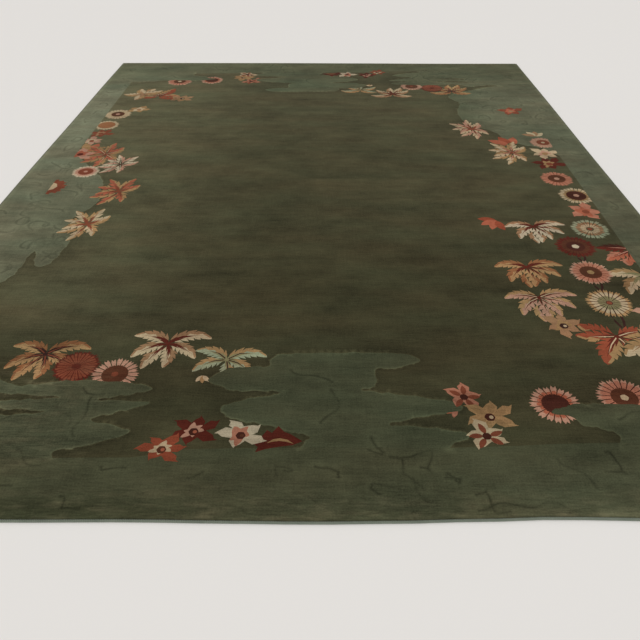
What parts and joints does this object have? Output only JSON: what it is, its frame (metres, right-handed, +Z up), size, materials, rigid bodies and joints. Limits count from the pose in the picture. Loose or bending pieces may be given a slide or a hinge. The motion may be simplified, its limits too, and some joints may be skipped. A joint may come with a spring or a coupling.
{
  "type": "chinese art deco rug",
  "caption": "Large flat hand-knotted wool room carpet with a plain green field, cloud borders and corner flower sprays, overcast along its sides and ends.",
  "frame": {"origin": "middle of the carpet's underside, on the floor it lies on", "axes": "+X across the carpet towards its right selvedge seen from the near end, +Y along its length away from the near end, +Z up out of the pile"},
  "size_m": [2.74, 3.6598, 0.009],
  "materials": {
    "wool_pile": "shorn cut wool pile, matt with a slight nap sheen",
    "selvedge_yarn": "overcast twisted wool yarn, matt",
    "binding_yarn": "overcast teal-grey wool yarn, matt"
  },
  "bodies": {
    "root": {"carpet": "wool_pile", "selvedge_left": "selvedge_yarn", "selvedge_right": "selvedge_yarn", "end_binding_near": "binding_yarn", "end_binding_far": "binding_yarn"}
  },
  "joints": []
}
